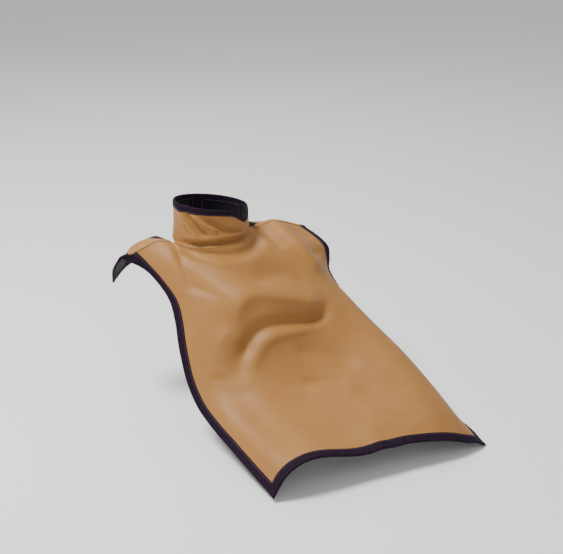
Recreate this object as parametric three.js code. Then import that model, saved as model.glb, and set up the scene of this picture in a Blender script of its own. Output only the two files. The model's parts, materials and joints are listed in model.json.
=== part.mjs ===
// Dental X-ray protection apron with a stand-up collar, in the shape it takes on a seated wearer.
// Millimetres, +Z up. The wearer faces -Y and the wearer's left hand is on +X.
// The origin is in the middle of the neck opening, level with the shoulders.
import * as THREE from 'three';

// ---------- driving dimensions ----------
const GAP = 0.3; // clearance between touching pieces
const SHEET_GAP = 0.45; // clearance inside a folded binding tape

// thickness of the laminate, from the wearer outwards
const BIB_LAYERS = [
  { name: 'backing_lining', thick: 0.4, material: 'lining' },
  { name: 'lead_vinyl_ply_inner', thick: 0.8, material: 'leadVinyl' },
  { name: 'lead_vinyl_ply_outer', thick: 0.8, material: 'leadVinyl' },
  { name: 'outer_cover', thick: 0.6, material: 'cover' },
];
const COLLAR_LAYERS = [
  { name: 'lining', thick: 0.4, material: 'lining' },
  { name: 'lead_vinyl', thick: 1.0, material: 'leadVinyl' },
  { name: 'cover', thick: 0.6, material: 'cover' },
];
const TAPE_THICK = 0.8; // binding tape
const MITRE_SHARE = 0.15; // how far the inner points beside a mitre stand off from it
const SIDE_TAPE_SHARE = 0.04; // tape width as a share of the bib's width
const HEM_TAPE_SHARE = 0.035; // tape width as a share of the bib's length

// neck opening: a level ellipse
const NECK = { halfWidth: 79, halfDepth: 64, z: 16 };
const NECK_CLEARANCE = 4.2; // from the collar's middle to the bib's neckline
const SHOULDER_ANGLE = 86; // where the shoulder seam meets the neck, degrees from the front

// shoulder seams, from the neck outwards
const LEFT_SEAM = [[122, 4, 18], [168, 5, 11], [222, 13, -12]];
const RIGHT_SEAM = [[-106, 12, 20], [-132, 18, 12], [-182, 33, -11]];

// The draped bib is a net of rows, each from the wearer's right edge to the left edge.
// Torso rows lean back with the wearer, and the last rows lie over the thighs.
const UPPER_CHEST = [
  [-144, 4, -32], [-118, -20, -12], [-84, -52, -10], [8, -102, -22],
  [104, -76, -14], [182, -56, -16], [252, -30, -44],
];
const ARMHOLE_DEPTH = [
  [-120, -60, -86], [-92, -98, -76], [-42, -132, -70], [26, -156, -74],
  [110, -150, -80], [196, -112, -76], [247, -60, -93],
];
const BUST = [
  [-127, -104, -152], [-98, -138, -138], [-42, -168, -130], [38, -192, -128],
  [124, -188, -126], [212, -158, -112], [264, -124, -130],
];
const WAIST = [
  [-130, -140, -212], [-102, -168, -194], [-46, -198, -184], [48, -220, -180],
  [138, -226, -170], [236, -212, -150], [288, -188, -178],
];
const HIP = [
  [-129, -190, -256], [-100, -214, -232], [-46, -240, -218], [56, -260, -218],
  [148, -270, -204], [254, -274, -184], [310, -256, -216],
];
const LAP = [
  [-121, -296, -290], [-92, -306, -258], [-44, -316, -240], [62, -330, -242],
  [152, -344, -232], [268, -362, -228], [328, -356, -270],
];
const HEM = [
  [-118, -452, -316], [-92, -456, -276], [-46, -460, -256], [62, -468, -272],
  [150, -476, -262], [268, -490, -284], [334, -480, -320],
];
const BIB_ROWS = [UPPER_CHEST, ARMHOLE_DEPTH, BUST, WAIST, HIP, LAP, HEM];
const UNDERARM_ROW = 3; // the armhole tape ends at this row, counted from the seam

// back flaps: rows from the neck side to the arm side, written for the left
const FLAP_START = 0.12; // share of the seam, from the neck, where the flap begins
const FLAP_TAPE_SHARE = 0.14;
const FLAP_MIDDLE = [[97, 58, 4], [140, 60, -4], [176, 56, -16], [222, 46, -42]];
const FLAP_HEM = [[102, 96, -48], [138, 98, -56], [172, 92, -66], [206, 80, -82]];

const RIGHT_SHOULDER_BACK = 12; // the right shoulder is set this much further back
const RIGHT_SHOULDER_NARROWER = 34; // and is this much narrower at its tip

// collar
const COLLAR_HEIGHT = 66;
const COLLAR_SLOPE = 12; // the rim is this much higher on the right and lower on the left
const COLLAR_DIP = 22; // the slump in the rim at the front left
const DIP_ANGLE = 42;
const DIP_SPREAD = 22;
const COLLAR_OPENING = 100; // angle of the fold line that the rear left part swings about
const NAPE_ANGLE = 176; // both ends of the collar stop short of the nape
const COLLAR_TAPE_SHARE = 0.2; // tape width as a share of the collar's height
const COLLAR_LEAN = 4; // the rim is this much narrower than the base
const COLLAR_FOOT = 1; // the front of the collar starts this far above the neck opening
const WING_FOOT = 3.5; // the swinging part clears the shoulder by a little more
const COLLAR_STEPS = 23;
const WING_STEPS = 7;
const NECK_TAPE = { first: 7, last: 22, from: 0.86, to: 1.1, thick: 0.7 };

// Hook-and-loop closing tab at the nape. Heights are shares of the collar, from the rim down.
const TAB_TOP = 0.28;
const TAB_BOTTOM = 0.74;
const TAB_THICK = 1.3;
const TAB_FOLD_GAP = 0.6; // degrees between the sewn end of the tab and its free part
const FASTENER_THICK = 0.9;
const FASTENER_STEPS = 2; // the loop tape covers this many steps of the collar

// ---------- materials ----------
const material = (color, roughness) => new THREE.MeshStandardMaterial({ color, roughness, metalness: 0 });
const MATERIALS = {
  cover: () => material('#b48a58', 0.45),
  leadVinyl: () => material('#55585c', 0.8),
  lining: () => material('#1c1a20', 0.8),
  tape: () => material('#2a1230', 0.7),
  fastener: () => material('#141216', 0.95),
};

// ---------- helpers ----------
const apron = new THREE.Group();
const vector = (p) => new THREE.Vector3(p[0], p[1], p[2]);
const degrees = THREE.MathUtils.degToRad;
const smoothCurve = (points) => new THREE.CatmullRomCurve3(points, false, 'centripetal');

function addMesh(name, vertices, triangles, kind) {
  const geometry = new THREE.BufferGeometry();
  const coordinates = vertices.flatMap((v) => v.toArray());
  geometry.setAttribute('position', new THREE.Float32BufferAttribute(coordinates, 3));
  geometry.setIndex(triangles.flat());
  geometry.computeVertexNormals();
  const mesh = new THREE.Mesh(geometry, MATERIALS[kind]());
  mesh.name = name;
  apron.add(mesh);
}

// A grid of points, row by row, with an outward normal at each point.
function makeGrid(columns, rows, pointAt) {
  const points = rows.map((v) => columns.map((u) => pointAt(u, v)));
  const normals = points.map((row) => row.map(() => new THREE.Vector3()));
  for (let j = 0; j < rows.length - 1; j++) {
    for (let i = 0; i < columns.length - 1; i++) {
      const across = points[j + 1][i + 1].clone().sub(points[j][i]);
      const down = points[j + 1][i].clone().sub(points[j][i + 1]);
      const face = down.cross(across);
      for (const [jj, ii] of [[j, i], [j, i + 1], [j + 1, i], [j + 1, i + 1]]) normals[jj][ii].add(face);
    }
  }
  for (const row of normals) {
    for (const normal of row) normal.normalize();
  }
  const lastColumn = columns.length - 1;
  const lastRow = rows.length - 1;
  return { points, normals, lastColumn, lastRow, turnedCell: [lastRow - 1, 0] };
}

const raised = (grid, j, i, height) => grid.points[j][i].clone().addScaledVector(grid.normals[j][i], height);

// One closed layer of the laminate, between two heights above the grid.
function addLayer(name, grid, from, to, kind) {
  const width = grid.lastColumn + 1;
  const vertices = [];
  for (const height of [to, from]) {
    for (let j = 0; j <= grid.lastRow; j++) {
      for (let i = 0; i < width; i++) vertices.push(raised(grid, j, i, height));
    }
  }
  const under = width * (grid.lastRow + 1);
  const at = (j, i) => j * width + i;
  const triangles = [];
  for (let j = 0; j < grid.lastRow; j++) {
    for (let i = 0; i < grid.lastColumn; i++) {
      const corners = [at(j, i), at(j, i + 1), at(j + 1, i + 1), at(j + 1, i)];
      // one corner cell is split the other way, so that its diagonal follows the mitre of the tape
      const [turnedRow, turnedColumn] = grid.turnedCell;
      if (j === turnedRow && i === turnedColumn) corners.push(corners.shift());
      const [a, b, c, d] = corners;
      triangles.push([a, c, b], [a, d, c]);
      const [e, f, g, h] = corners.map((k) => k + under);
      triangles.push([e, f, g], [e, g, h]);
    }
  }
  const wall = (a, b) => triangles.push([a, b, b + under], [a, b + under, a + under]);
  for (let i = 0; i < grid.lastColumn; i++) {
    wall(at(0, i), at(0, i + 1));
    wall(at(grid.lastRow, i + 1), at(grid.lastRow, i));
  }
  for (let j = 0; j < grid.lastRow; j++) {
    wall(at(j + 1, 0), at(j, 0));
    wall(at(j, grid.lastColumn), at(j + 1, grid.lastColumn));
  }
  addMesh(name, vertices, triangles, kind);
}

// The whole stack, from the wearer outwards; returns the height of its two faces.
function addLaminate(prefix, grid, layers) {
  const total = layers.reduce((sum, layer) => sum + layer.thick, 0) + GAP * (layers.length - 1);
  let height = -total / 2;
  for (const layer of layers) {
    addLayer(prefix + layer.name, grid, height, height + layer.thick, layer.material);
    height += layer.thick + GAP;
  }
  return total / 2;
}

// A station of a binding tape: the grid's edge point and the point one tape width further in.
function station(grid, edge, inner) {
  const [je, ie] = edge;
  const [ji, ii] = inner;
  return {
    edgeAt: edge,
    innerAt: inner,
    edge: grid.points[je][ie].clone(),
    edgeNormal: grid.normals[je][ie].clone(),
    inner: grid.points[ji][ii].clone(),
    innerNormal: grid.normals[ji][ii].clone(),
  };
}

function blendStations(a, b, share) {
  const mix = (key) => a[key].clone().lerp(b[key], share);
  return {
    ...a,
    edge: mix('edge'), edgeNormal: mix('edgeNormal').normalize(),
    inner: mix('inner'), innerNormal: mix('innerNormal').normalize(),
  };
}

// Pulls both ends of a tape back, so that it clears the piece it meets.
function trimmed(stations, first = GAP, last = GAP) {
  const share = (a, b, length) => length / a.edge.distanceTo(b.edge);
  const n = stations.length;
  const start = blendStations(stations[0], stations[1], share(stations[0], stations[1], first));
  const end = blendStations(stations[n - 1], stations[n - 2], share(stations[n - 1], stations[n - 2], last));
  return [start, ...stations.slice(1, n - 1), end];
}

// The sheet's cells are split from their lowest to their highest row and column, and the tape's likewise.
function splitsFromEdge(a, b) {
  const [row, column] = a.edgeAt;
  const lowest = row <= b.innerAt[0] && column <= b.innerAt[1];
  const highest = row >= b.innerAt[0] && column >= b.innerAt[1];
  return lowest || highest;
}

// A binding tape folded over an edge: a channel section swept along the stations.
function addBinding(name, stations, face, flip) {
  const sections = stations.map((s) => {
    const out = s.edge.clone().sub(s.inner).normalize();
    const near = face + SHEET_GAP;
    const far = near + TAPE_THICK;
    const overEdge = (height) => s.edge.clone().addScaledVector(s.edgeNormal, height);
    const atEdge = (height, reach) => overEdge(height).addScaledVector(out, reach);
    const atInner = (height) => s.inner.clone().addScaledVector(s.innerNormal, height);
    return [
      atInner(far), atEdge(far, SHEET_GAP + TAPE_THICK), atEdge(-far, SHEET_GAP + TAPE_THICK), atInner(-far),
      atInner(-near), atEdge(-near, SHEET_GAP), atEdge(near, SHEET_GAP), atInner(near),
    ];
  });
  const corners = sections[0].length;
  const triangles = [];
  const push = (a, b, c) => triangles.push(flip ? [a, c, b] : [a, b, c]);
  for (let s = 0; s < sections.length - 1; s++) {
    const fromEdge = splitsFromEdge(stations[s], stations[s + 1]);
    for (let k = 0; k < corners; k++) {
      const a = s * corners + k;
      const b = s * corners + (k + 1) % corners;
      const startsAtEdge = k === 1 || k === 2 || k === 5 || k === 6;
      if (startsAtEdge === fromEdge) {
        push(a, b + corners, b);
        push(a, a + corners, b + corners);
      } else {
        push(a, a + corners, b);
        push(b, a + corners, b + corners);
      }
    }
  }
  const cap = (base, reverse) => {
    for (const [a, b, c, d] of [[0, 1, 6, 7], [1, 2, 5, 6], [2, 3, 4, 5]]) {
      const quad = reverse ? [a, d, c, b] : [a, b, c, d];
      const [p, q, r, t] = quad.map((k) => base + k);
      push(p, q, r);
      push(p, r, t);
    }
  };
  cap(0, false);
  cap((sections.length - 1) * corners, true);
  addMesh(name, sections.flat(), triangles, 'tape');
}

function range(from, to, count) {
  return Array.from({ length: count + 1 }, (_, k) => from + (to - from) * k / count);
}

// Three stations round a mitred corner. Steps point from the corner into the sheet, and the tape
// reaches the corner along the column when alongColumn is true, and leaves along it when it is false.
function cornerStations(grid, [row, column], [rowStep, columnStep], alongColumn) {
  const inner = [row + rowStep, column + columnStep];
  const mitre = station(grid, [row, column], inner);
  const onColumn = station(grid, [row + rowStep, column], inner);
  onColumn.inner.lerp(grid.points[row + 2 * rowStep][column + columnStep], MITRE_SHARE);
  const onRow = station(grid, [row, column + columnStep], inner);
  onRow.inner.lerp(grid.points[row + rowStep][column + 2 * columnStep], MITRE_SHARE);
  return alongColumn ? [onColumn, mitre, onRow] : [onRow, mitre, onColumn];
}

// ---------- neck ----------
function neckPoint(angle, outward, z) {
  const a = degrees(angle);
  return new THREE.Vector3(
    (NECK.halfWidth + outward) * Math.sin(a),
    -(NECK.halfDepth + outward) * Math.cos(a),
    z,
  );
}

// ---------- bib ----------
const neckline = (angle) => neckPoint(angle, NECK_CLEARANCE, NECK.z - 3);
const leftSeam = smoothCurve([neckline(SHOULDER_ANGLE), ...LEFT_SEAM.map(vector)]);
const rightSeam = smoothCurve([neckline(-SHOULDER_ANGLE), ...RIGHT_SEAM.map(vector)]);
const bibRows = BIB_ROWS.map((row) => smoothCurve(row.map(vector)));

// The top edge: right shoulder seam, neckline, left shoulder seam, a third of the width each.
function topEdge(u) {
  if (u < 1 / 3) return rightSeam.getPoint(1 - u * 3);
  if (u > 2 / 3) return leftSeam.getPoint(u * 3 - 2);
  return neckline((u - 0.5) * 6 * SHOULDER_ANGLE);
}

function bibPoint(u, v) {
  return smoothCurve([topEdge(u), ...bibRows.map((row) => row.getPoint(u))]).getPoint(v);
}

function makeBib() {
  const columns = [
    0, ...range(SIDE_TAPE_SHARE, 1 / 3, 4), ...range(1 / 3, 2 / 3, 10).slice(1, -1),
    ...range(2 / 3, 1 - SIDE_TAPE_SHARE, 4), 1,
  ];
  const rowsPerSpan = 2;
  const rows = [...range(0, 1, BIB_ROWS.length * rowsPerSpan).slice(0, -1), 1 - HEM_TAPE_SHARE, 1];
  const grid = makeGrid(columns, rows, bibPoint);
  const face = addLaminate('', grid, BIB_LAYERS);
  const underarm = UNDERARM_ROW * rowsPerSpan;
  const { lastColumn, lastRow } = grid;
  const side = (edge, inner, from, to) => range(from, to, to - from)
    .map((j) => station(grid, [j, edge], [j, inner]));
  for (const [hand, edge, step, flip] of [['right', 0, 1, true], ['left', lastColumn, -1, false]]) {
    const inner = edge + step;
    addBinding(`${hand}_armhole_binding`, trimmed(side(edge, inner, 0, underarm)), face, flip);
    const [beforeCorner, mitre] = cornerStations(grid, [lastRow, edge], [-1, step], true);
    const path = [...side(edge, inner, underarm, lastRow - 2), beforeCorner, mitre];
    addBinding(`${hand}_side_binding`, trimmed(path), face, flip);
  }
  const hem = range(2, lastColumn - 2, lastColumn - 4)
    .map((i) => station(grid, [lastRow, i], [lastRow - 1, i]));
  const [, startMitre, afterStart] = cornerStations(grid, [lastRow, 0], [-1, 1], true);
  const [beforeEnd, endMitre] = cornerStations(grid, [lastRow, lastColumn], [-1, -1], false);
  addBinding('hem_binding', trimmed([startMitre, afterStart, ...hem, beforeEnd, endMitre]), face, true);
}

// ---------- back flaps ----------
// The tape runs down the first column, along the hem and up the last column.
function aroundThreeSides(grid) {
  const { lastRow, lastColumn } = grid;
  const firstSide = range(0, lastRow - 2, lastRow - 2).map((j) => station(grid, [j, 0], [j, 1]));
  const secondSide = range(lastRow - 2, 0, lastRow - 2)
    .map((j) => station(grid, [j, lastColumn], [j, lastColumn - 1]));
  const hem = range(2, lastColumn - 2, lastColumn - 4)
    .map((i) => station(grid, [lastRow, i], [lastRow - 1, i]));
  return [
    ...firstSide, ...cornerStations(grid, [lastRow, 0], [-1, 1], true), ...hem,
    ...cornerStations(grid, [lastRow, lastColumn], [-1, -1], false), ...secondSide,
  ];
}

function makeBackFlap(hand, seam) {
  const left = hand === 'left';
  const place = ([x, y, z]) => {
    const outward = (x - FLAP_MIDDLE[0][0]) / (FLAP_MIDDLE[3][0] - FLAP_MIDDLE[0][0]);
    if (left) return new THREE.Vector3(x, y, z);
    return new THREE.Vector3(-x + RIGHT_SHOULDER_NARROWER * outward, y + RIGHT_SHOULDER_BACK, z);
  };
  const middle = smoothCurve(FLAP_MIDDLE.map(place));
  const hem = smoothCurve(FLAP_HEM.map(place));
  const behindSeam = new THREE.Vector3(0, 4, -1);
  const flapPoint = (u, v) => {
    const start = seam.getPoint(FLAP_START + (1 - FLAP_START) * u).add(behindSeam);
    return smoothCurve([start, middle.getPoint(u), hem.getPoint(u)]).getPoint(v);
  };
  const columns = [0, ...range(FLAP_TAPE_SHARE, 1 - FLAP_TAPE_SHARE, 5), 1];
  if (left) columns.reverse();
  const rows = [...range(0, 1 - FLAP_TAPE_SHARE, 5), 1];
  const grid = makeGrid(columns, rows, flapPoint);
  const face = addLaminate(`${hand}_flap_`, grid, COLLAR_LAYERS);
  addBinding(`${hand}_flap_binding`, trimmed(aroundThreeSides(grid)), face, true);
}

// ---------- collar ----------
function collarHeight(angle) {
  const dip = Math.exp(-(((angle - DIP_ANGLE) / DIP_SPREAD) ** 2));
  return COLLAR_HEIGHT - COLLAR_SLOPE * Math.sin(degrees(angle)) - COLLAR_DIP * dip;
}

// share 0 is the rim and share 1 is the base
const collarPoint = (foot) => (angle, share) => {
  const base = neckPoint(angle, 0, NECK.z + foot);
  return neckPoint(angle, -COLLAR_LEAN, NECK.z + collarHeight(angle)).lerp(base, share);
};

const COLLAR_ROWS = [0, COLLAR_TAPE_SHARE, 0.5, TAB_BOTTOM, 1];
const frontAngles = range(-NAPE_ANGLE, COLLAR_OPENING, COLLAR_STEPS);
const wingAngles = range(COLLAR_OPENING + 0.4, NAPE_ANGLE, WING_STEPS);

// A patch that lies on the collar, between two heights above its middle surface.
function addPatch(name, angles, shares, from, thick, foot, kind) {
  addLayer(name, makeGrid(angles, shares, collarPoint(foot)), from, from + thick, kind);
}

function makeCollar() {
  const front = makeGrid(frontAngles, COLLAR_ROWS, collarPoint(COLLAR_FOOT));
  const wing = makeGrid(wingAngles, COLLAR_ROWS, collarPoint(WING_FOOT));
  front.turnedCell = [0, COLLAR_STEPS - 1];
  wing.turnedCell = [0, WING_STEPS - 1];
  const face = addLaminate('collar_', front, COLLAR_LAYERS);
  addLaminate('collar_wing_', wing, COLLAR_LAYERS);

  const lastRow = COLLAR_ROWS.length - 1;
  const rim = (grid, from, to) => range(from, to, to - from).map((i) => station(grid, [0, i], [1, i]));
  const end = (grid, column, inner, from, to) => range(from, to, Math.abs(to - from))
    .map((j) => station(grid, [j, column], [j, inner]));
  const frontPath = [
    ...end(front, 0, 1, lastRow, 2), ...cornerStations(front, [0, 0], [1, 1], true),
    ...rim(front, 2, COLLAR_STEPS),
  ];
  addBinding('collar_binding', trimmed(frontPath), face, false);
  const wingPath = [
    ...rim(wing, 0, WING_STEPS - 2), ...cornerStations(wing, [0, WING_STEPS], [1, -1], false),
    ...end(wing, WING_STEPS, WING_STEPS - 1, 2, lastRow),
  ];
  addBinding('collar_wing_binding', trimmed(wingPath), face, false);

  const neckTapeAngles = frontAngles.slice(NECK_TAPE.first, NECK_TAPE.last + 1);
  const neckTapeFace = -face - GAP - NECK_TAPE.thick;
  const { from, to, thick } = NECK_TAPE;
  addPatch('neck_seam_tape', neckTapeAngles, [from, to], neckTapeFace, thick, COLLAR_FOOT, 'tape');
  return face;
}

function makeClosure(face) {
  const shares = [TAB_TOP, TAB_BOTTOM];
  const turn = 360;
  const loopAngles = frontAngles.slice(1, 2 + FASTENER_STEPS);
  const loopFrom = face + GAP;
  addPatch('loop_tape', loopAngles, shares, loopFrom, FASTENER_THICK, COLLAR_FOOT, 'fastener');
  const hookFrom = loopFrom + FASTENER_THICK + GAP;
  addPatch('hook_tape', loopAngles, shares, hookFrom, FASTENER_THICK, COLLAR_FOOT, 'fastener');
  const tabFrom = hookFrom + FASTENER_THICK + GAP;
  const overlapAngles = frontAngles.slice(0, 2 + FASTENER_STEPS).map((a) => a + turn);
  const tabAngles = [NAPE_ANGLE + TAB_FOLD_GAP, ...overlapAngles];
  addPatch('closure_tab', tabAngles, shares, tabFrom, TAB_THICK, COLLAR_FOOT, 'cover');
  const rootFrom = face + SHEET_GAP + TAPE_THICK + GAP;
  const rootThick = tabFrom + TAB_THICK - rootFrom;
  addPatch('closure_tab_root', wingAngles.slice(-3), shares, rootFrom, rootThick, COLLAR_FOOT, 'cover');
}

makeBib();
makeBackFlap('left', leftSeam);
makeBackFlap('right', rightSeam);
makeClosure(makeCollar());

export default apron;
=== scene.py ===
# %% [markdown]
# # A dental lead apron, draped as it is worn
# The real apron is a soft sandwich: a satin coated-nylon face, two plies of lead-loaded vinyl
# and a black nylon lining, with a woven tape folded over every edge. It has a stand-up collar
# that closes at the nape, and two short flaps that lie behind the shoulders.
# Nobody wears it here, so the neck, the arm openings and the lap stay open, and the lining shows.

# %% Load the frame
import json
import math

import bmesh
import bpy
import numpy as np
from mathutils import Vector
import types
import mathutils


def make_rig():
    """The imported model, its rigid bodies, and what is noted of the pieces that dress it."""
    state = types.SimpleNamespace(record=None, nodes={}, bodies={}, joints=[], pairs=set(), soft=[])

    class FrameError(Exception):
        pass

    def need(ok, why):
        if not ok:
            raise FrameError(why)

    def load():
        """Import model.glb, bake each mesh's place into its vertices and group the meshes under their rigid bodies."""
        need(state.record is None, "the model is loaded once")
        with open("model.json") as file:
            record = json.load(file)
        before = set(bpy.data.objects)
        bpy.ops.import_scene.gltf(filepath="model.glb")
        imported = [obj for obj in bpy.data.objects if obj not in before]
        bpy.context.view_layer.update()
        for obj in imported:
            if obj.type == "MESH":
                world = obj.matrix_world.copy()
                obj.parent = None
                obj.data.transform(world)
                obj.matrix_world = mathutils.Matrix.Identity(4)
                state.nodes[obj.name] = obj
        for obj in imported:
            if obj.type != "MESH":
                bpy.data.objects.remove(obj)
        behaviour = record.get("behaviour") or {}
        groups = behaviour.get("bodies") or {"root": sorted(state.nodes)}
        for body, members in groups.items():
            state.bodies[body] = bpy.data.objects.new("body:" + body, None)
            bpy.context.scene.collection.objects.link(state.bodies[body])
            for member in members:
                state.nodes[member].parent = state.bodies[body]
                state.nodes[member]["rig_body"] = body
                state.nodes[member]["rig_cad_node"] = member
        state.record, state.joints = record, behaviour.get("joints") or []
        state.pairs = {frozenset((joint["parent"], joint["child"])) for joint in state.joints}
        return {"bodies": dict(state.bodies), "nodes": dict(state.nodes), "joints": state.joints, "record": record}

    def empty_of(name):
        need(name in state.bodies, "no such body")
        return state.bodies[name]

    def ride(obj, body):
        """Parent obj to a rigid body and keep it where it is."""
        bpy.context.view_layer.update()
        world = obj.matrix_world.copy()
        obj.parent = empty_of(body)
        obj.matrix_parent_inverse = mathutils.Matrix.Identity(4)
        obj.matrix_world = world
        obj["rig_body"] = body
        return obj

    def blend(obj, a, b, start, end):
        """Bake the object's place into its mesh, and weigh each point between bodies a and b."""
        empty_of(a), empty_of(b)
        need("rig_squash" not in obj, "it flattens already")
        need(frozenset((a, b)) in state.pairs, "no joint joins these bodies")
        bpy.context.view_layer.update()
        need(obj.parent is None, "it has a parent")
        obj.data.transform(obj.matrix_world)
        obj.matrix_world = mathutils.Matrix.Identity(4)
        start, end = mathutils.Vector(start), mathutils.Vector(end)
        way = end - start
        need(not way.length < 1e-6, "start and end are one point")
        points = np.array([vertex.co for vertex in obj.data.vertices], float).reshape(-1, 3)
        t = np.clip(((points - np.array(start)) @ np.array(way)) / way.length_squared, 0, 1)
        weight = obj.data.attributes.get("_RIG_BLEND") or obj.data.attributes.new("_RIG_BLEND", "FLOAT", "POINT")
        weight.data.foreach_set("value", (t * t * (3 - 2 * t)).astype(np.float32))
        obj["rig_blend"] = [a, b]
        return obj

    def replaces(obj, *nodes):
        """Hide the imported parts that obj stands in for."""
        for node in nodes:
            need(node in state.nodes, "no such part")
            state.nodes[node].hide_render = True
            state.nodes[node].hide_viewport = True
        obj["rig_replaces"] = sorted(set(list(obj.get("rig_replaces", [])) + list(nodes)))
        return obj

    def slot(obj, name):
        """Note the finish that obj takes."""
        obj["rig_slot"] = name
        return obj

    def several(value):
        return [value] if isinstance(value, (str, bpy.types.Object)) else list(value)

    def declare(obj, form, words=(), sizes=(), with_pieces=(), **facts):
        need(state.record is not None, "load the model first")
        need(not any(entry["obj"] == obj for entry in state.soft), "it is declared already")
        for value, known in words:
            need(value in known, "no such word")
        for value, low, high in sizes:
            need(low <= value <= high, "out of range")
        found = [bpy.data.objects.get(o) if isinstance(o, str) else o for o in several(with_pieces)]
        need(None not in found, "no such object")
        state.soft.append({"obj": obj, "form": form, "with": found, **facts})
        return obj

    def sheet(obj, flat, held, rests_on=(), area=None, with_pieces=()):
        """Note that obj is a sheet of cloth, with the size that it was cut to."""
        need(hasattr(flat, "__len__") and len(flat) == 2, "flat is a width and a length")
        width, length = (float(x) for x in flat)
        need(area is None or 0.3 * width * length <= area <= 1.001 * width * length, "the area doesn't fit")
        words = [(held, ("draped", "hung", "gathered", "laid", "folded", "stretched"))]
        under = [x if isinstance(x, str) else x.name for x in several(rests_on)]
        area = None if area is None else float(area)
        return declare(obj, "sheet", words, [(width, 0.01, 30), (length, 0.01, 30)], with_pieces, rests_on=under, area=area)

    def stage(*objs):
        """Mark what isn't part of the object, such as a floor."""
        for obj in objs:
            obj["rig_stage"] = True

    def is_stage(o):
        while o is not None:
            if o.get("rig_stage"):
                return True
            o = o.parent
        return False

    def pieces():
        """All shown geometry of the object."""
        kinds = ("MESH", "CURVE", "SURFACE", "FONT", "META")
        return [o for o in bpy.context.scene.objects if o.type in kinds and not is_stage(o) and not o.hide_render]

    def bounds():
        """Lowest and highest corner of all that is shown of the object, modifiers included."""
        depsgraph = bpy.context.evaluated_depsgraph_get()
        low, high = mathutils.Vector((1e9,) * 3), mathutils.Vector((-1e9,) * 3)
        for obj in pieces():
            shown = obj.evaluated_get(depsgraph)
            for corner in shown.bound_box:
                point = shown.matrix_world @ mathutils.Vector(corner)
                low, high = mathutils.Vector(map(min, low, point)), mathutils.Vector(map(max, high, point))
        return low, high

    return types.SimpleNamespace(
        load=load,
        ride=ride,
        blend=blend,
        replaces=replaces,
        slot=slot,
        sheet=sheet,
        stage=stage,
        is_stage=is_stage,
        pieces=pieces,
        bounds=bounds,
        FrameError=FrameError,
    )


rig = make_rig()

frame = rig.load()
nodes = frame["nodes"]
cad_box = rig.bounds()
MM = 0.001
print("CAD box", [tuple(round(c, 3) for c in corner) for corner in cad_box])

# %% [markdown]
# ## Camera
# The apron is seen from the front and from the wearer's right, a little above shoulder height,
# through a long lens, which keeps the near hem from looking too large. The camera is placed on a
# circle round the neck opening and aimed below it, towards the wearer's left, at the apron's middle.

# %% Camera
VIEW_AZIMUTH = math.radians(-27)
VIEW_ELEVATION = math.radians(20)
VIEW_DISTANCE = 2.6  # metres from the neck opening
LENS = 83  # mm
AIM_RIGHT = 0.139  # metres from the neck opening to the point aimed at, across the view
AIM_DOWN = 0.074  # and down it

right = Vector((math.cos(VIEW_AZIMUTH), math.sin(VIEW_AZIMUTH), 0))
back = Vector((math.sin(VIEW_AZIMUTH) * math.cos(VIEW_ELEVATION),
               -math.cos(VIEW_AZIMUTH) * math.cos(VIEW_ELEVATION), math.sin(VIEW_ELEVATION)))
up = back.cross(right)
camera = bpy.data.objects.new("camera", bpy.data.cameras.new("camera"))
bpy.context.scene.collection.objects.link(camera)
camera.location = back * VIEW_DISTANCE
aim = right * AIM_RIGHT - up * AIM_DOWN
camera.rotation_euler = (aim - camera.location).to_track_quat("-Z", "Y").to_euler()
camera.data.lens = LENS
bpy.context.scene.camera = camera
print("camera at", [round(c, 2) for c in camera.location], "aimed at", [round(c, 2) for c in aim])

# %% [markdown]
# ## Reading the drape from the frame
# Every CAD layer is a net of cells, a row of points from side to side and then the next row down.
# If the net is read back row by row, each new sheet can be woven on it at any fineness, and
# its tape, stitches and lining all stay parallel. A plain copy with a subdivision modifier would be
# quicker, but it loses the rows, and the tapes could not follow them.

# %% Outward side of a CAD layer
MERGE = 0.01 * MM
RIM = 1.2 * MM  # the layers are thinner than this, so only the faces of the rim have so short an edge


def outward_side(node, inside, rim_edge):
    mesh = bmesh.new()
    mesh.from_mesh(nodes[node].data)
    bmesh.ops.remove_doubles(mesh, verts=mesh.verts, dist=MERGE)
    rim = [f for f in mesh.faces if min(e.calc_length() for e in f.edges) < rim_edge]
    bmesh.ops.delete(mesh, geom=rim, context="FACES_ONLY")
    mesh.normal_update()
    unseen = set(mesh.faces)
    sides = []
    while unseen:
        side = [unseen.pop()]
        for face in side:
            for edge in face.edges:
                for other in edge.link_faces:
                    if other in unseen:
                        unseen.remove(other)
                        side.append(other)
        outwardness = sum(f.calc_area() * f.normal.dot(f.calc_center_median() - inside) for f in side)
        sides.append((outwardness, side))
    best = max(sides, key=lambda s: s[0])[1]
    rest = [f for f in mesh.faces if f not in set(best)]
    bmesh.ops.delete(mesh, geom=rest, context="FACES")
    loose = [v for v in mesh.verts if not v.link_faces]
    bmesh.ops.delete(mesh, geom=loose, context="VERTS")
    return mesh


# %% Row by row
def boundary_loop(mesh):
    start = next(v for v in mesh.verts if v.is_boundary)
    loop, previous = [start], None
    while True:
        here = loop[-1]
        ahead = [e.other_vert(here) for e in here.link_edges if e.is_boundary]
        following = ahead[0] if ahead[0] != previous else ahead[1]
        if following == start:
            return loop
        previous = here
        loop.append(following)


def sharpest(loop, count):
    def turn(k):
        before = loop[k].co - loop[k - 1].co
        after = loop[(k + 1) % len(loop)].co - loop[k].co
        return before.angle(after)
    return sorted(range(len(loop)), key=turn, reverse=True)[:count]


def path_between(loop, a, b, avoid):
    n = len(loop)
    for step in (1, -1):
        path = [a]
        while path[-1] != b:
            path.append((path[-1] + step) % n)
        if not set(path[1:-1]) & set(avoid):
            return [loop[k] for k in path]


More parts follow.
